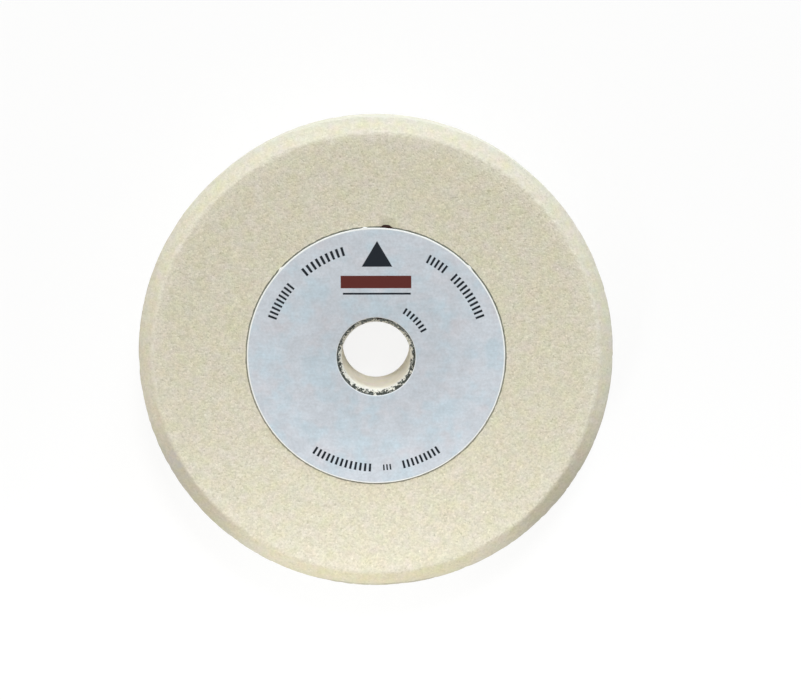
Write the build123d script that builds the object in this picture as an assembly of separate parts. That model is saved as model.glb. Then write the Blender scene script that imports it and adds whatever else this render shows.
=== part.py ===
"""Straight grinding wheel with one bevelled corner and a glued paper label, in millimetres.

The wheel lies on its back side. The origin is the middle of the bore at the back side,
and +Z runs along the bore towards the labelled front side.
"""

import os

from build123d import *

# Wheel body: one fired block of bonded grain, trued all over
wheel_diameter = 175.0
wheel_thickness = 32.0
bore_diameter = 25.4

# Bevelled corner between the front side and the rim: the wheel's profile
bevel_width = 5.5
bevel_depth = 3.2
bevel_inner_blend = 4.0
bevel_outer_blend = 1.0

# Small broken edges, which keep the brittle corners from chipping
back_edge_break = 0.6
front_mouth_break = 1.6
back_mouth_break = 1.0

# Paper label on the front side, with a punched hole that stands clear of the bore's broken edge
label_diameter = 95.0
label_thickness = 0.4
label_hole_margin = 0.2


def wheel_section():
    """Half section of the wheel from the bore out to the rim, in the XZ plane."""
    bore = bore_diameter / 2
    rim = wheel_diameter / 2
    flat_edge = (rim - bevel_width, 0, wheel_thickness)
    rim_edge = (rim, 0, wheel_thickness - bevel_depth)
    corners = [
        (bore, 0, back_mouth_break),
        (bore + back_mouth_break, 0, 0),
        (rim - back_edge_break, 0, 0),
        (rim, 0, back_edge_break),
        rim_edge,
        flat_edge,
        (bore + front_mouth_break, 0, wheel_thickness),
        (bore, 0, wheel_thickness - front_mouth_break),
    ]
    section = make_face(Polyline(*corners, close=True))
    section = soften(section, flat_edge, bevel_inner_blend)
    return soften(section, rim_edge, bevel_outer_blend)


def soften(section, corner, radius):
    """Rounds one corner of a section, as truing and handling wear it."""
    nearest = section.vertices().sort_by_distance(corner)[0]
    return fillet(nearest, radius)


def abrasive_wheel():
    """The whole wheel, turned from its half section about the bore's axis."""
    return revolve(wheel_section(), Axis.Z)


def paper_label():
    """A flat round of paper, face to face with the wheel's front side."""
    hole_radius = bore_diameter / 2 + front_mouth_break + label_hole_margin
    outline = Circle(label_diameter / 2) - Circle(hole_radius)
    return extrude(Plane.XY.offset(wheel_thickness) * outline, label_thickness)


os.makedirs("parts", exist_ok=True)
export_step(abrasive_wheel(), "parts/abrasive_wheel.step")
export_step(paper_label(), "parts/paper_label.step")
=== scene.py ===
from math import cos, degrees, exp, pi, radians, sin, tan

import bpy
from mathutils import Matrix, Vector, noise


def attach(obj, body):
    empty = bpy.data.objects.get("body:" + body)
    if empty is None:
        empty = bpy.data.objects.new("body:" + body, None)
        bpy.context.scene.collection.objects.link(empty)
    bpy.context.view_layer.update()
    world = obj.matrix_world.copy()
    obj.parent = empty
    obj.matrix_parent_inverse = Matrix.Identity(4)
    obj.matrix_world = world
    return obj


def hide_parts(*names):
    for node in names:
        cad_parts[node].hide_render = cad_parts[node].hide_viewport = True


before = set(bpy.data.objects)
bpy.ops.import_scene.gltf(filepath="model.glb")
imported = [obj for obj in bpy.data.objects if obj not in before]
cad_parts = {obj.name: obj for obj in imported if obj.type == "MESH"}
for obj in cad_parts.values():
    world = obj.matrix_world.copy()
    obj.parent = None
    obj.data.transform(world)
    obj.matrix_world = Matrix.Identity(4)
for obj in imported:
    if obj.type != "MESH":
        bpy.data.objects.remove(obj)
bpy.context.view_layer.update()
mm = 0.001

# Wheel body
# One block of white aluminium oxide grain in a fired glassy bond, lying on its back side.
# It is pressed and fired in one piece, then trued, with its front corner turned to a bevel.
wheel_radius = 87.5 * mm
wheel_thickness = 32.0 * mm
bore_radius = 12.7 * mm
bevel_width = 5.5 * mm
bevel_depth = 3.2 * mm
bevel_inner_blend = 4.0 * mm
bevel_outer_blend = 1.0 * mm
back_edge_break = 0.6 * mm
front_mouth_break = 1.6 * mm
back_mouth_break = 1.0 * mm
bevel_start = wheel_radius - bevel_width
bevel_foot = wheel_thickness - bevel_depth
wheel_turns = 640

# How far the edges are worn and chipped, which is always into the body
unevenness = 0.05 * mm
edge_chip_depth = 0.42 * mm
edge_chip_reach = 1.6 * mm

# Where the paper label ends, along which lie dirt and painted shade, and the places of two marks, counted
# from +X
label_radius = 47.5 * mm
stain_angle = radians(85.3)
smudge_angle = radians(-152.0)


def straight(start, end, steps):
    """Points from start up to, but not including, end."""
    return [start.lerp(end, i / steps) for i in range(steps)]


def blended(before, corner, after, radius, steps):
    """Points of the arc that rounds a corner between two straight stretches."""
    into = (before - corner).normalized()
    out = (after - corner).normalized()
    half_angle = into.angle(out) / 2
    first = corner + into * radius / tan(half_angle)
    middle = corner + (into + out).normalized() * radius / sin(half_angle)
    last = corner + out * radius / tan(half_angle)
    return [middle + radius * (first - middle).slerp(last - middle, i / steps) for i in range(steps + 1)]


def wheel_section():
    """Closed half section of the wheel as (radius, height) points, close together at its edges."""
    back_mouth = Vector((bore_radius + back_mouth_break, 0))
    back_rim = Vector((wheel_radius - back_edge_break, 0))
    rim_foot = Vector((wheel_radius, back_edge_break))
    rim_top = Vector((wheel_radius, bevel_foot))
    flat_edge = Vector((bevel_start, wheel_thickness))
    front_mouth = Vector((bore_radius + front_mouth_break, wheel_thickness))
    bore_top = Vector((bore_radius, wheel_thickness - front_mouth_break))
    bore_foot = Vector((bore_radius, back_mouth_break))
    outer_blend = blended(rim_foot, rim_top, flat_edge, bevel_outer_blend, 6)
    inner_blend = blended(rim_top, flat_edge, front_mouth, bevel_inner_blend, 6)
    points = straight(back_mouth, back_rim, 18)
    points += straight(back_rim, rim_foot, 3)
    points += straight(rim_foot, outer_blend[0], 14)
    points += outer_blend[:-1]
    points += straight(outer_blend[-1], inner_blend[0], 9)
    points += inner_blend[:-1]
    points += straight(inner_blend[-1], front_mouth, 40)
    points += straight(front_mouth, bore_top, 5)
    points += straight(bore_top, bore_foot, 14)
    points += straight(bore_foot, back_mouth, 3)
    return points, [rim_top, flat_edge, back_rim, rim_foot, front_mouth]


def wear_depth(place, to_edge):
    """How far one point of the surface is worn away, given its distance to the nearest edge."""
    gentle = unevenness * (0.5 + 0.5 * noise.noise(place / (9 * mm)))
    coarse = max(0.0, noise.noise(place / (5.5 * mm) + Vector((7, 3, 1))) - 0.12)
    fine = max(0.0, noise.noise(place / (1.9 * mm) + Vector((2, 9, 4))) - 0.1)
    closeness = exp(-((to_edge / edge_chip_reach) ** 2))
    return gentle + edge_chip_depth * closeness * (0.9 * coarse + 0.9 * fine)


def turned_mesh(name, points, edges, turns, wear):
    """A mesh made by turning a closed half section about the Z axis, with wear taken off its surface."""
    count = len(points)
    outward = []
    nearest = []
    for i, point in enumerate(points):
        along = points[(i + 1) % count] - points[i - 1]
        outward.append(Vector((along.y, -along.x)).normalized())
        nearest.append(min((point - edge).length for edge in edges))
    vertices = []
    for turn in range(turns):
        angle = 2 * pi * turn / turns
        around = Vector((cos(angle), sin(angle), 0))
        for point, normal, to_edge in zip(points, outward, nearest):
            place = around * point.x + Vector((0, 0, point.y))
            depth = wear(place, to_edge)
            vertices.append(place - (around * normal.x + Vector((0, 0, normal.y))) * depth)
    faces = []
    for turn in range(turns):
        this_ring = turn * count
        next_ring = (turn + 1) % turns * count
        for i in range(count):
            j = (i + 1) % count
            faces.append((this_ring + i, next_ring + i, next_ring + j, this_ring + j))
    mesh = bpy.data.meshes.new(name)
    mesh.from_pydata(vertices, [], faces)
    mesh.shade_smooth()
    mesh.set_sharp_from_angle(angle=radians(38))
    piece = bpy.data.objects.new(name, mesh)
    bpy.context.scene.collection.objects.link(piece)
    return piece


section, section_edges = wheel_section()
wheel = turned_mesh("fired_wheel", section, section_edges, wheel_turns, wear_depth)


def put(tree, kind, inputs=None, **settings):
    """Adds a node, sets its values, and links or fills the inputs given by name or number."""
    node = tree.nodes.new("ShaderNode" + kind)
    for key, value in settings.items():
        setattr(node, key, value)
    for key, value in (inputs or {}).items():
        if isinstance(value, bpy.types.NodeSocket):
            tree.links.new(value, node.inputs[key])
        else:
            node.inputs[key].default_value = value
    return node


def calculate(tree, operation, *values):
    """The result of one Math node."""
    return put(tree, "Math", dict(enumerate(values)), operation=operation).outputs[0]


def product(tree, value, *others):
    """Values multiplied together."""
    for other in others:
        value = calculate(tree, "MULTIPLY", value, other)
    return value


def scaled_noise(tree, place, size, detail=2.0, **inputs):
    """Noise whose lumps are about the given size."""
    values = {"Vector": place, "Scale": 1 / size, "Detail": detail, **inputs}
    return put(tree, "TexNoise", values).outputs


def fade(tree, value, start, end, to_start=0.0, to_end=1.0):
    """A smooth step that goes from to_start to to_end as the value goes from start to end."""
    fields = {"Value": value, "From Min": start, "From Max": end, "To Min": to_start, "To Max": to_end}
    return put(tree, "MapRange", fields, interpolation_type="SMOOTHSTEP").outputs[0]


def blend_colour(tree, amount, first, second, kind="MIX"):
    """Two colours mixed by an amount."""
    mix = put(tree, "Mix", data_type="RGBA", blend_type=kind, clamp_factor=True)
    for socket, value in ((mix.inputs[0], amount), (mix.inputs[6], first), (mix.inputs[7], second)):
        if isinstance(value, bpy.types.NodeSocket):
            tree.links.new(value, socket)
        else:
            socket.default_value = value
    return mix.outputs[2]


def new_group(name, inputs, outputs):
    """An empty shader node group with named inputs, each with its usual value, and named outputs."""
    group = bpy.data.node_groups.new(name, "ShaderNodeTree")
    for label, kind, value in inputs:
        socket = group.interface.new_socket(label, in_out="INPUT", socket_type="NodeSocket" + kind)
        if value is not None:
            socket.default_value = value
    for label, kind in outputs:
        group.interface.new_socket(label, in_out="OUTPUT", socket_type="NodeSocket" + kind)
    return group, group.nodes.new("NodeGroupInput").outputs, group.nodes.new("NodeGroupOutput").inputs


def place_group(tree, group, values):
    """Uses a node group in a material, with its inputs linked or filled."""
    node = tree.nodes.new("ShaderNodeGroup")
    node.node_tree = group
    for key, value in values.items():
        if isinstance(value, bpy.types.NodeSocket):
            tree.links.new(value, node.inputs[key])
        else:
            node.inputs[key].default_value = value
    return node.outputs


def bonded_grain_group():
    """Sugary fired grain: a shade for each grain, small pores, a few glints, and faint cloudy tints."""
    group, given, gives = new_group(
        "bonded_grain",
        [
            ("Vector", "Vector", None),
            ("Grain Size", "Float", 0.7 * mm),
            ("Contrast", "Float", 0.4),
            ("Tint", "Float", 1.0),
        ],
        [("Shade", "Float"), ("Tint Colour", "Color"), ("Height", "Float")],
    )
    per_metre = calculate(group, "DIVIDE", 1.0, given["Grain Size"])
    cells = put(group, "TexVoronoi", {"Vector": given["Vector"], "Scale": per_metre}, feature="F1")
    own = put(group, "SeparateColor", {0: cells.outputs["Color"]}).outputs
    speckle = put(group, "TexNoise", {"Vector": given["Vector"], "Scale": per_metre, "Detail": 2.0})
    pore_scale = product(group, per_metre, 0.62)
    pore_noise = put(group, "TexNoise", {"Vector": given["Vector"], "Scale": pore_scale})
    pores = fade(group, pore_noise.outputs["Fac"], 0.62, 0.72)
    glints = product(group, fade(group, own[1], 0.975, 0.985), 0.3)
    shade = calculate(group, "MULTIPLY_ADD", own[0], 0.5, speckle.outputs["Fac"])
    shade = calculate(group, "ADD", calculate(group, "SUBTRACT", shade, 0.75), glints)
    shade = calculate(group, "MULTIPLY_ADD", pores, -0.35, shade)
    group.links.new(product(group, shade, given["Contrast"]), gives["Shade"])

    clouds = put(group, "TexNoise", {"Vector": given["Vector"], "Scale": 230.0, "Detail": 2.5})
    hue = put(group, "SeparateColor", {0: clouds.outputs["Color"]}).outputs
    pink = product(group, calculate(group, "SUBTRACT", hue[0], 0.5), given["Tint"])
    blue = product(group, calculate(group, "SUBTRACT", hue[2], 0.5), given["Tint"])
    tint = {
        0: calculate(group, "MULTIPLY_ADD", pink, 0.09, 1.0),
        1: calculate(group, "MULTIPLY_ADD", pink, -0.055, 1.0),
        2: calculate(group, "MULTIPLY_ADD", blue, 0.26, calculate(group, "MULTIPLY_ADD", pink, 0.08, 1.0)),
    }
    group.links.new(put(group, "CombineColor", tint).outputs[0], gives["Tint Colour"])
    lump = calculate(group, "SUBTRACT", 1.0, cells.outputs["Distance"])
    group.links.new(calculate(group, "MULTIPLY_ADD", pores, -0.8, lump), gives["Height"])
    return group


bonded_grain = bonded_grain_group()

abrasive_cream = (0.675, 0.632, 0.506, 1)
mouth_cream = (0.70, 0.685, 0.615, 1)
bore_cream = (0.94, 0.905, 0.81, 1)
residue_black = (0.022, 0.028, 0.024, 1)
residue_grey = (0.160, 0.180, 0.180, 1)
label_edge_grime_and_shade = (0.115, 0.125, 0.10, 1)
rim_grey = (0.52, 0.53, 0.50, 1)
painted_side_shade = (0.80, 0.79, 0.77, 1)
highlight_cream = (1.0, 0.98, 0.90, 1)
painted_warm_light = (1.0, 0.99, 0.91, 1)
smudge_blue_grey = (0.47, 0.47, 0.51, 1)
corner_line_and_shade_grey = (0.14, 0.14, 0.125, 1)
stain_brown = (0.030, 0.012, 0.010, 1)


def wheel_coordinates(tree):
    """Object coordinates, with the distance from the bore's axis and the angle round it."""
    place = put(tree, "TexCoord").outputs["Object"]
    axes = put(tree, "SeparateXYZ", {0: place}).outputs
    flat = put(tree, "VectorMath", {0: place, 1: (1, 1, 0)}, operation="MULTIPLY").outputs[0]
    radius = put(tree, "VectorMath", {0: flat}, operation="LENGTH").outputs["Value"]
    angle = calculate(tree, "ARCTAN2", axes["Y"], axes["X"])
    return place, axes, radius, angle


def mouth_residue(tree, place, radius, up, height, base):
    """Dark, speckled resin left on the broken edge of the bore's mouth, rarer but thicker on its -Y side."""
    strokes = scaled_noise(tree, place, 1.1 * mm, 3.0, Distortion=0.6)["Fac"]
    specks = scaled_noise(tree, place, 0.45 * mm, 1.0)["Fac"]
    patches = scaled_noise(tree, place, 4.5 * mm, 1.0)["Fac"]
    thickness = scaled_noise(tree, place, 0.9 * mm, 1.0)["Fac"]
    outward = fade(tree, radius, bore_radius - 0.2 * mm, bore_radius + front_mouth_break)
    at_mouth = fade(tree, height, wheel_thickness - 2.8 * mm, wheel_thickness - 1.6 * mm)
    on_break = fade(tree, radius, bore_radius + 2.4 * mm, bore_radius + 2.1 * mm)
    within = product(tree, at_mouth, on_break)
    base = blend_colour(tree, product(tree, within, 0.85), base, mouth_cream)
    amount = calculate(tree, "MULTIPLY_ADD", outward, 0.27, product(tree, patches, 0.6))
    rarer = fade(tree, up, -0.3 * bore_radius, -0.95 * bore_radius, 0.90, 0.95)
    over = calculate(tree, "ADD", strokes, calculate(tree, "SUBTRACT", amount, rarer))
    over = calculate(tree, "ADD", over, calculate(tree, "MULTIPLY_ADD", specks, 0.5, -0.25))
    residue = product(tree, fade(tree, over, -0.03, 0.06), within)
    thickness = calculate(tree, "ADD", thickness, fade(tree, up, bore_radius, -bore_radius, -0.07, 0.16))
    shade = blend_colour(tree, fade(tree, thickness, 0.42, 0.56), residue_grey, residue_black)
    return blend_colour(tree, product(tree, residue, 0.95), base, shade)


def label_edge_dirt_and_shade(tree, place, up, radius, angle, height, base):
    """A thin line of glue, dust and painted shade along the label's edge, and one small dark stain that shows
    past it.
    """
    unsteady = scaled_noise(tree, place, 1.8 * mm, 3.0)["Fac"]
    on_front = fade(tree, height, wheel_thickness - 0.5 * mm, wheel_thickness - 0.3 * mm)
    line_end = calculate(tree, "MULTIPLY_ADD", unsteady, 0.60 * mm, label_radius + 0.18 * mm)
    line = fade(tree, calculate(tree, "SUBTRACT", radius, line_end), 0.06 * mm, -0.10 * mm)
    under_label = fade(tree, radius, label_radius - 1.5 * mm, label_radius - 1.0 * mm)
    strength = fade(tree, up, -30 * mm, 30 * mm, 0.72, 0.92)
    line = product(tree, line, under_label, on_front, strength)
    base = blend_colour(tree, line, base, label_edge_grime_and_shade)

    sideways = calculate(tree, "ABSOLUTE", calculate(tree, "SUBTRACT", angle, stain_angle))
    reach = fade(tree, sideways, 0.080, 0.004, label_radius - 0.3 * mm, label_radius + 1.20 * mm)
    ragged = calculate(tree, "MULTIPLY_ADD", unsteady, 0.9 * mm, radius)
    ragged = calculate(tree, "SUBTRACT", ragged, 0.45 * mm)
    stain = fade(tree, calculate(tree, "SUBTRACT", ragged, reach), 0.16 * mm, -0.10 * mm)
    stain = product(tree, stain, fade(tree, sideways, 0.086, 0.074), on_front)
    halo = fade(tree, radius, label_radius + 5.0 * mm, label_radius + 0.5 * mm, 0.0, 0.22)
    halo = product(tree, halo, fade(tree, sideways, 0.10, 0.0), on_front)
    base = blend_colour(tree, halo, base, stain_brown)
    return blend_colour(tree, stain, base, stain_brown)


def corner_grey_and_shade(tree, place, up, radius, height, base):
    """A grey line on the corner between the bevel and the rim, faint but for its -Y side, where painted shade
    darkens it.
    """
    smudges = scaled_noise(tree, place, 7 * mm, 4.0)["Fac"]
    broken = fade(tree, scaled_noise(tree, place, 3.0 * mm, 3.0)["Fac"], 0.36, 0.64, 0.5, 1.0)

    # At the -Y side painted shade darkens the line and reaches a little way up the bevel
    nearest = fade(tree, up, -0.945 * wheel_radius, -0.985 * wheel_radius)
    inner_end = calculate(tree, "MULTIPLY_ADD", nearest, -0.45 * mm, wheel_radius - 0.45 * mm)
    line = fade(tree, calculate(tree, "SUBTRACT", radius, inner_end), 0.0, 0.25 * mm)
    on_corner = fade(tree, height, bevel_foot - 0.6 * mm, bevel_foot)
    amount = fade(tree, smudges, 0.30, 0.70, 0.0, 0.18)
    near_side_shade = product(tree, nearest, 0.36, broken)
    amount = product(tree, calculate(tree, "ADD", amount, near_side_shade), on_corner)
    return blend_colour(tree, product(tree, line, amount), base, corner_line_and_shade_grey)


def bevel_tones_and_painted_light(tree, place, axes, radius, angle, height, on_bevel, base):
    """Grey by the rim, painted shade on its lower sides, painted warm light at -Y, a painted inner highlight,
    a smudge.
    """
    greying = fade(tree, radius, wheel_radius - 2.6 * mm, wheel_radius - 0.8 * mm, 0.0, 0.22)
    base = blend_colour(tree, greying, base, rim_grey)

    # Turned is how far round a point lies from the -Y side, on either hand
    above_foot = fade(tree, height, bevel_foot - 0.6 * mm, bevel_foot + 0.2 * mm)
    on_slope = product(tree, on_bevel, above_foot)
    sideways = calculate(tree, "ABSOLUTE", axes["X"])
    turned = calculate(tree, "ARCTAN2", sideways, product(tree, axes["Y"], -1.0))
    # Painted shade on the bevel's two lower sides, darkest about 50 degrees round from -Y
    shaded_sides = fade(tree, turned, radians(26), radians(48))
    shaded_sides = product(tree, shaded_sides, fade(tree, turned, radians(82), radians(54)))
    base = blend_colour(tree, product(tree, shaded_sides, on_slope), base, painted_side_shade, "MULTIPLY")
    # Painted warm light on the bevel at its -Y side
    warm_lit = product(tree, fade(tree, turned, radians(36), radians(14)), on_slope)
    base = blend_colour(tree, warm_lit, base, painted_warm_light, "MULTIPLY")

    # Painted highlight along the bevel's inner edge, away from its -Y side
    off_edge = calculate(tree, "ABSOLUTE", calculate(tree, "SUBTRACT", radius, bevel_start))
    edge_highlight = fade(tree, off_edge, 1.3 * mm, 0.3 * mm, 0.0, 0.10)
    edge_highlight = product(tree, edge_highlight, fade(tree, turned, radians(56), radians(80)), above_foot)
    base = blend_colour(tree, edge_highlight, base, highlight_cream)

    off_smudge = calculate(tree, "ABSOLUTE", calculate(tree, "SUBTRACT", angle, smudge_angle))
    smudge = fade(tree, off_smudge, radians(8), radians(1), 0.0, 0.42)
    patchy = fade(tree, scaled_noise(tree, place, 2.5 * mm, 3.0)["Fac"], 0.30, 0.70)
    smudge = product(tree, smudge, patchy, on_slope)
    return blend_colour(tree, smudge, base, smudge_blue_grey)


def wheel_material():
    """Cream fired grain, smooth in the bore, with mouth residue, dirt and painted shade by label and corner,
    painted light on the bevel.
    """
    material = bpy.data.materials.new("fired_white_grain")
    material.use_nodes = True
    tree = material.node_tree
    shader = tree.nodes["Principled BSDF"]
    place, axes, radius, angle = wheel_coordinates(tree)
    height = axes["Z"]

    # The bore is formed on a steel pin, so it is smooth. The bevel is dressed finer than the sides, which
    # calms its grain and lets its tints show more.
    in_bore = fade(tree, radius, bore_radius + 0.5 * mm, bore_radius + 0.2 * mm)
    on_bevel = fade(tree, radius, bevel_start - 0.6 * mm, bevel_start + 1.0 * mm)
    calm = calculate(tree, "MAXIMUM", in_bore, product(tree, on_bevel, 0.4))
    contrast = calculate(tree, "MULTIPLY_ADD", calm, -0.32, 0.37)
    tinge = calculate(tree, "MULTIPLY_ADD", on_bevel, 0.45, 1.0)
    grain = place_group(tree, bonded_grain, {"Vector": place, "Contrast": contrast, "Tint": tinge})
    base = blend_colour(tree, in_bore, abrasive_cream, bore_cream)
    base = blend_colour(tree, 1.0, base, grain["Tint Colour"], "MULTIPLY")
    level = calculate(tree, "ADD", grain["Shade"], 1.0)
    blue_level = calculate(tree, "MULTIPLY_ADD", grain["Shade"], 1.15, 1.0)
    brightness = put(tree, "CombineColor", {0: level, 1: level, 2: blue_level}).outputs[0]
    base = blend_colour(tree, 1.0, base, brightness, "MULTIPLY")

    # Painted highlight: the face is a little lighter towards its edge
    edge_highlight = fade(tree, radius, bevel_start - 7 * mm, bevel_start - 1.5 * mm, 0.0, 0.05)
    edge_highlight = product(tree, edge_highlight, calculate(tree, "SUBTRACT", 1.0, on_bevel))
    base = blend_colour(tree, edge_highlight, base, highlight_cream)
    base = bevel_tones_and_painted_light(tree, place, axes, radius, angle, height, on_bevel, base)
    base = corner_grey_and_shade(tree, place, axes["Y"], radius, height, base)
    base = mouth_residue(tree, place, radius, axes["Y"], height, base)
    base = label_edge_dirt_and_shade(tree, place, axes["Y"], radius, angle, height, base)
    tree.links.new(base, shader.inputs["Base Color"])
    tree.links.new(calculate(tree, "MULTIPLY_ADD", in_bore, -0.25, 0.92), shader.inputs["Roughness"])
    shader.inputs["Specular IOR Level"].default_value = 0.25
    relief = product(tree, grain["Height"], calculate(tree, "SUBTRACT", 1.0, calm))
    bump = put(tree, "Bump", {"Strength": 0.4, "Distance": 0.22 * mm, "Height": relief})
    tree.links.new(bump.outputs[0], shader.inputs["Normal"])
    return material


wheel.data.materials.append(wheel_material())
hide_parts("abrasive_wheel")
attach(wheel, "root")

# Paper label
# A die-cut round of coated paper, printed and glued flat round the bore on the front side.
# Its cut edge is white, with tiny nibs where the die's nicks held it in the sheet.
label_hole_radius = 14.5 * mm
label_thickness = 0.4 * mm
label_turns = 720
nib_angles = (44.0, 95.0, 137.0)
nib_height = 0.45 * mm
nib_spread = 1.1


def label_edge_shift(angle):
    """How far the die-cut outer edge strays from a true circle: inward in waves, and outward at each nib."""
    around = Vector((cos(angle), sin(angle), 0))
    shift = -0.14 * mm * (0.5 + 0.5 * noise.noise(around * 9))
    for nib in nib_angles:
        away = (degrees(angle) - nib + 180) % 360 - 180
        shift += nib_height * exp(-((away / nib_spread) ** 2))
    return min(shift, 0.4 * mm)


def label_mesh():
    """The label as a thin closed sheet, with a softened cut edge."""
    top = wheel_thickness + label_thickness
    rings = [(0.0, -label_thickness), (0.0, -0.12 * mm), (0.03 * mm, -0.04 * mm)]
    rings += [(0.12 * mm, 0.0), (0.5 * mm, 0.0)]
    inner = [(label_hole_radius + inset, top + drop, 0.0) for inset, drop in rings]
    outer = [(label_radius - inset, top + drop, 1.0) for inset, drop in reversed(rings)]
    spread = 16
    start, end = inner[-1][0], outer[0][0]
    between = [(start + (end - start) * i / spread, top, (i / spread) ** 6) for i in range(1, spread)]
    profile = inner + between + outer
    count = len(profile)
    vertices = []
    for turn in range(label_turns):
        angle = 2 * pi * turn / label_turns
        around = Vector((cos(angle), sin(angle), 0))
        stray = label_edge_shift(angle)
        for radius, height, share in profile:
            place = around * (radius + stray * share)
            ripple = 0.05 * mm * (0.5 + 0.5 * noise.noise(place / (14 * mm)))
            on_top = 1.0 if height > wheel_thickness + 0.5 * label_thickness else 0.0
            vertices.append(place + Vector((0, 0, height - ripple * on_top)))
    faces = []
    for turn in range(label_turns):
        this_ring = turn * count
        next_ring = (turn + 1) % label_turns * count
        for i in range(count):
            j = (i + 1) % count
            faces.append((this_ring + i, this_ring + j, next_ring + j, next_ring + i))
    mesh = bpy.data.meshes.new("printed_label")
    mesh.from_pydata(vertices, [], faces)
    mesh.shade_smooth()
    mesh.set_sharp_from_angle(angle=radians(50))
    piece = bpy.data.objects.new("printed_label", mesh)
    bpy.context.scene.collection.objects.link(piece)
    return piece


label = label_mesh()


def arc_marks_group():
    """A row of plain upright strokes, like a scale's, printed along an arc. Angles are in radians."""
    group, given, gives = new_group(
        "arc_marks",
        [
            ("Radius", "Float", 0.0),
            ("Angle", "Float", 0.0),
            ("Arc Radius", "Float", 40 * mm),
            ("Stroke Height", "Float", 3 * mm),
            ("Middle", "Float", 0.0),
            ("Half Span", "Float", 0.2),
            ("Strokes", "Float", 6.0),
            ("Stroke Share", "Float", 0.48),
        ],
        [("Mask", "Float")],
    )
    away = calculate(group, "SUBTRACT", given["Angle"], given["Middle"])
    along = calculate(group, "DIVIDE", calculate(group, "WRAP", away, pi, -pi), given["Half Span"])
    inside = calculate(group, "LESS_THAN", calculate(group, "ABSOLUTE", along), 1.0)
    share = calculate(group, "MULTIPLY_ADD", along, 0.5, 0.5)
    part = calculate(group, "FRACT", product(group, share, given["Strokes"]))
    off_middle = calculate(group, "ABSOLUTE", calculate(group, "SUBTRACT", part, 0.5))
    past_stroke = calculate(group, "MULTIPLY_ADD", given["Stroke Share"], -0.5, off_middle)
    stroke = fade(group, past_stroke, 0.03, -0.03)
    from_line = calculate(group, "SUBTRACT", given["Radius"], given["Arc Radius"])
    off_line = calculate(group, "ABSOLUTE", from_line)
    beyond = calculate(group, "MULTIPLY_ADD", given["Stroke Height"], -0.5, off_line)
    mask = product(group, stroke, fade(group, beyond, 0.06 * mm, -0.06 * mm), inside)
    group.links.new(mask, gives["Mask"])
    return group


def bar_group():
    """A printed bar with square ends, placed by its middle and half size."""
    group, given, gives = new_group(
        "printed_bar",
        [
            ("X", "Float", 0.0),
            ("Y", "Float", 0.0),
            ("Middle X", "Float", 0.0),
            ("Middle Y", "Float", 0.0),
            ("Half Width", "Float", 10 * mm),
            ("Half Height", "Float", 2 * mm),
        ],
        [("Mask", "Float")],
    )
    across = calculate(group, "ABSOLUTE", calculate(group, "SUBTRACT", given["X"], given["Middle X"]))
    up = calculate(group, "ABSOLUTE", calculate(group, "SUBTRACT", given["Y"], given["Middle Y"]))
    over_x = calculate(group, "SUBTRACT", across, given["Half Width"])
    over_y = calculate(group, "SUBTRACT", up, given["Half Height"])
    outside = calculate(group, "MAXIMUM", over_x, over_y)
    group.links.new(fade(group, outside, 0.06 * mm, -0.06 * mm), gives["Mask"])
    return group


arc_marks = arc_marks_group()
printed_bar = bar_group()

label_blue_grey = (0.562, 0.598, 0.655, 1)
label_pinkish = (0.580, 0.588, 0.636, 1)
label_bluish = (0.522, 0.606, 0.676, 1)
cut_paper_white = (0.88, 0.89, 0.88, 1)
ink_black = (0.010, 0.014, 0.020, 1)
ink_maroon = (0.105, 0.022, 0.018, 1)

# The white margin past the coating's edge, and how far the print's centre lies off the round's, along Y
margin_shift = -0.05 * mm
margin_width = 0.54 * mm

# Rows of strokes on the label: arc radius, stroke height, first and last angle in degrees, number of strokes
outer_rows = (
    (40.6, 3.3, 160.0, 139.0, 9),
    (40.6, 3.3, 131.0, 106.0, 9),
    (40.8, 3.3, 63.0, 51.0, 5),
    (40.8, 3.3, 47.0, 20.0, 11),
    (41.6, 3.0, 236.0, 268.0, 13),
    (41.6, 2.2, 273.0, 278.0, 3),
    (41.6, 3.0, 283.0, 304.0, 9),
)
small_row = (19.9, 2.4, 60.0, 27.0, 7)


def add_row(tree, ink, radius, angle, row):
    """Adds one row of strokes to the ink mask."""
    arc_radius, stroke_height, first, last, strokes = row
    values = {
        "Radius": radius,
        "Angle": angle,
        "Arc Radius": arc_radius * mm,
        "Stroke Height": stroke_height * mm,
        "Middle": radians((first + last) / 2),
        "Half Span": radians(abs(first - last) / 2),
        "Strokes": float(strokes),
    }
    return calculate(tree, "MAXIMUM", ink, place_group(tree, arc_marks, values)["Mask"])


def add_bar(tree, ink, across, up, middle, half_size):
    """Adds one bar to an ink mask."""
    values = {
        "X": across,
        "Y": up,
        "Middle X": middle[0] * mm,
        "Middle Y": middle[1] * mm,
        "Half Width": half_size[0] * mm,
        "Half Height": half_size[1] * mm,
    }
    return calculate(tree, "MAXIMUM", ink, place_group(tree, printed_bar, values)["Mask"])


def arrowhead(tree, across, up, base_middle, half_width, height):
    """A plain solid triangle that points up, as a mask."""
    off = calculate(tree, "ABSOLUTE", calculate(tree, "SUBTRACT", across, base_middle[0] * mm))
    rise = calculate(tree, "SUBTRACT", up, base_middle[1] * mm)
    slope = half_width / height
    side = calculate(tree, "ADD", off, calculate(tree, "MULTIPLY_ADD", rise, slope, -half_width * mm))
    outside = calculate(tree, "MAXIMUM", side, product(tree, rise, -1.0))
    return fade(tree, outside, 0.06 * mm, -0.06 * mm)


def grey(tree, level):
    """A grey of the given level, as a colour."""
    return put(tree, "CombineColor", {0: level, 1: level, 2: level}).outputs[0]


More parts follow.
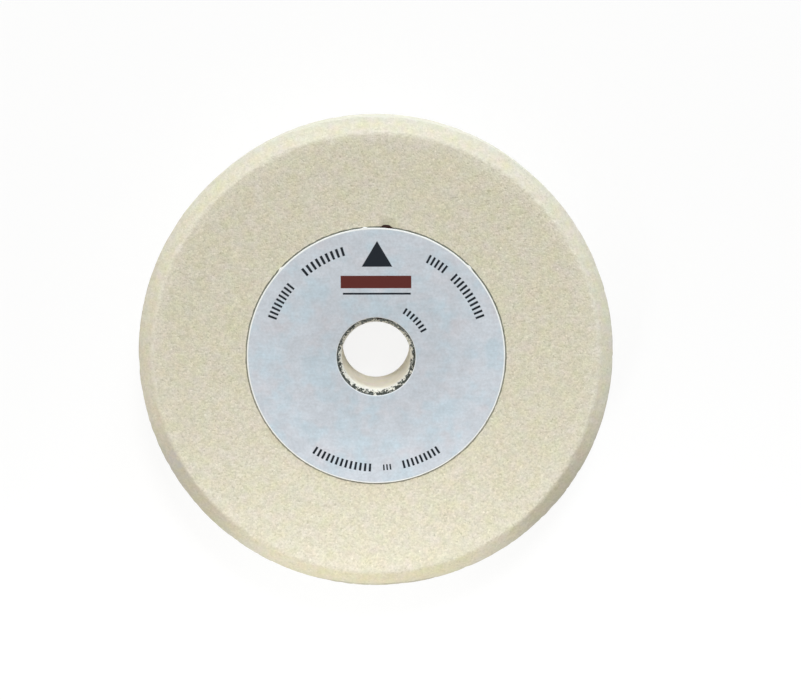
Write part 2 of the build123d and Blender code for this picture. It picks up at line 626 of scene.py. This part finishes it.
def paper_shade(tree, place, radius):
    """Cloudy grey-blue paper with faint streaks. Gives its colour, and the fibres for its relief."""
    hue = put(tree, "SeparateColor", {0: scaled_noise(tree, place, 8 * mm)["Color"]}).outputs
    base = blend_colour(tree, fade(tree, hue[0], 0.46, 0.74), label_blue_grey, label_pinkish)
    base = blend_colour(tree, fade(tree, hue[1], 0.42, 0.70), base, label_bluish)
    drawn_out = put(tree, "VectorMath", {0: place, 1: (0.3, 1.4, 1.0)}, operation="MULTIPLY").outputs[0]
    streaks = scaled_noise(tree, drawn_out, 1.6 * mm, 3.0)["Fac"]
    fibres = scaled_noise(tree, place, 0.8 * mm, 3.0)["Fac"]
    cloud = scaled_noise(tree, place, 5 * mm, 2.0)["Fac"]
    level = product(
        tree,
        fade(tree, fibres, 0.2, 0.8, 0.93, 1.07),
        fade(tree, streaks, 0.25, 0.75, 0.965, 1.035),
        fade(tree, cloud, 0.3, 0.7, 0.965, 1.035),
        fade(tree, radius, 17 * mm, 44 * mm, 0.955, 1.03),
    )
    return blend_colour(tree, 1.0, base, grey(tree, level), "MULTIPLY"), fibres


def label_material():
    """Light grey-blue coated paper with a white cut edge and plain printed strokes, bars and an arrowhead."""
    material = bpy.data.materials.new("printed_paper")
    material.use_nodes = True
    tree = material.node_tree
    shader = tree.nodes["Principled BSDF"]
    place, axes, radius, angle = wheel_coordinates(tree)
    across, up = axes["X"], axes["Y"]
    base, fibres = paper_shade(tree, place, radius)

    black = arrowhead(tree, across, up, (0.4, 33.2), 5.6, 9.4)
    for row in outer_rows:
        black = add_row(tree, black, radius, angle, row)
    black = add_row(tree, black, radius, angle, small_row)
    black = add_bar(tree, black, across, up, (0.3, 23.3), (12.4, 0.35))
    maroon = add_bar(tree, 0.0, across, up, (0.0, 27.6), (12.9, 2.3))
    base = blend_colour(tree, black, base, ink_black)
    base = blend_colour(tree, maroon, base, ink_maroon)

    # The grey-blue coating stops just short of the cut edges, where white paper shows
    shifted = put(tree, "VectorMath", {0: place, 1: (0, margin_shift, 0)}, operation="SUBTRACT").outputs[0]
    flat = put(tree, "VectorMath", {0: shifted, 1: (1, 1, 0)}, operation="MULTIPLY").outputs[0]
    from_print = put(tree, "VectorMath", {0: flat}, operation="LENGTH").outputs["Value"]
    coating_end = label_radius - margin_width
    outer_white = fade(tree, from_print, coating_end - 0.12 * mm, coating_end + 0.08 * mm)
    inner_white = fade(tree, radius, label_hole_radius + 0.32 * mm, label_hole_radius + 0.12 * mm, 0.0, 0.7)
    base = blend_colour(tree, calculate(tree, "MAXIMUM", outer_white, inner_white), base, cut_paper_white)
    tree.links.new(base, shader.inputs["Base Color"])
    shader.inputs["Roughness"].default_value = 0.6
    shader.inputs["Specular IOR Level"].default_value = 0.15
    bump = put(tree, "Bump", {"Strength": 0.15, "Distance": 0.08 * mm, "Height": fibres})
    tree.links.new(bump.outputs[0], shader.inputs["Normal"])
    return material


label.data.materials.append(label_material())
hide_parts("paper_label")
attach(label, "root")

# Floor and backdrop
# A plain white table top under the wheel, which keeps a faint, soft shadow of it.
# To the camera the rest of it and the world beyond are plain white.
floor_half = 3.0
shadow_share = 0.15


def seen_directly(tree):
    """One where a ray comes from the camera, a mirror or clear glass, and nothing elsewhere."""
    rays = put(tree, "LightPath").outputs
    mirrored = calculate(tree, "MAXIMUM", rays["Is Glossy Ray"], rays["Is Transmission Ray"])
    return calculate(tree, "MAXIMUM", rays["Is Camera Ray"], mirrored)


def floor_material():
    """White that lights like paint, and to the camera is mostly plain white with part of its shadow."""
    material = bpy.data.materials.new("white_table")
    material.use_nodes = True
    tree = material.node_tree
    tree.nodes.remove(tree.nodes["Principled BSDF"])
    paint = put(tree, "BsdfDiffuse", {"Color": (0.93, 0.93, 0.93, 1)})
    plain = put(tree, "Emission", {"Color": (1, 1, 1, 1), "Strength": 1.0})
    share = product(tree, seen_directly(tree), 1 - shadow_share)
    mix = put(tree, "MixShader", {0: share, 1: paint.outputs[0], 2: plain.outputs[0]})
    tree.links.new(mix.outputs[0], tree.nodes["Material Output"].inputs["Surface"])
    return material


floor_mesh = bpy.data.meshes.new("table_top")
floor_corners = [(-floor_half, -floor_half, 0), (floor_half, -floor_half, 0)]
floor_corners += [(floor_half, floor_half, 0), (-floor_half, floor_half, 0)]
floor_mesh.from_pydata(floor_corners, [], [(0, 1, 2, 3)])
floor = bpy.data.objects.new("table_top", floor_mesh)
floor.data.materials.append(floor_material())
bpy.context.scene.collection.objects.link(floor)

world = bpy.data.worlds.new("studio")
world.use_nodes = True
bpy.context.scene.world = world
world_tree = world.node_tree
room_light = (0.51, 0.495, 0.455, 1)
brighter_left = 0.55
brighter_far = 0.40
world_axes = put(world_tree, "SeparateXYZ", {0: put(world_tree, "TexCoord").outputs["Generated"]}).outputs
room_level = calculate(world_tree, "MULTIPLY_ADD", world_axes["X"], -brighter_left, 1.0)
room_level = calculate(world_tree, "MULTIPLY_ADD", world_axes["Y"], brighter_far, room_level)
room = blend_colour(world_tree, 1.0, room_light, grey(world_tree, room_level), "MULTIPLY")
shown = blend_colour(world_tree, seen_directly(world_tree), room, (1, 1, 1, 1))
world_tree.links.new(shown, world_tree.nodes["Background"].inputs["Color"])

# Lamps
# Two broad suns beyond the wheel's far side, one low and one high, light the bevel there and
# the bore's near wall, and a soft-edged spotlight on the near side lifts the nearest part of the face.
scene = bpy.context.scene


def broad_sun(name, elevation, sideways, strength, colour, spread):
    """A sun on the +Y side, given its height above the horizon and how far it is turned, in degrees."""
    lamp = bpy.data.lights.new(name, "SUN")
    lamp.energy = strength
    lamp.color = colour
    lamp.angle = radians(spread)
    piece = bpy.data.objects.new(name, lamp)
    piece.rotation_euler = (radians(elevation - 90), 0, radians(sideways))
    scene.collection.objects.link(piece)


broad_sun("low_sun", 13, -17, 1.42, (0.82, 1.0, 1.18), 20)
broad_sun("high_sun", 50, -8, 1.33, (1.0, 1.0, 1.0), 14)

near_place = Vector((-0.25, -0.48, wheel_thickness + 0.5))
near_aim = Vector((-0.05, -0.33, wheel_thickness))
spot = bpy.data.lights.new("near_spot", "SPOT")
spot.energy = 22.0
spot.color = (1.0, 1.02, 1.02)
spot.spot_size = radians(55)
spot.spot_blend = 1.0
spot.shadow_soft_size = 0.06
near_spot = bpy.data.objects.new("near_spot", spot)
near_spot.location = near_place
near_spot.rotation_euler = (near_aim - near_place).to_track_quat("-Z", "Y").to_euler()
scene.collection.objects.link(near_spot)

# Camera
# It looks down the bore from a little beyond the vertical, so that the bore's near wall shows,
# and the wheel sits left of the picture's middle.
image_width, image_height = 801, 700
face_middle = Vector((0, 0, wheel_thickness))
camera_tilt = radians(9.0)
camera_distance = 0.7355
lens = 90.0
sensor = 36.0
wheel_in_picture = (376.1, 356.5)

camera_data = bpy.data.cameras.new("camera")
camera_data.lens = lens
camera_data.sensor_width = sensor
camera = bpy.data.objects.new("camera", camera_data)
pixels_per_metre = lens / sensor * image_width / camera_distance
back = Vector((0, sin(camera_tilt), cos(camera_tilt)))
up = Vector((0, cos(camera_tilt), -sin(camera_tilt)))
place = face_middle + back * camera_distance
to_right = (image_width / 2 - wheel_in_picture[0]) / pixels_per_metre
to_top = (wheel_in_picture[1] - image_height / 2) / pixels_per_metre
aim = face_middle + Vector((1, 0, 0)) * to_right + up * to_top
line_back = (place - aim).normalized()
right = Vector((0, 1, 0)).cross(line_back).normalized()
turned_up = line_back.cross(right)
camera.matrix_world = Matrix.Translation(place) @ Matrix((right, turned_up, line_back)).transposed().to_4x4()
scene.collection.objects.link(camera)
scene.camera = camera
scene.view_settings.view_transform = "Standard"
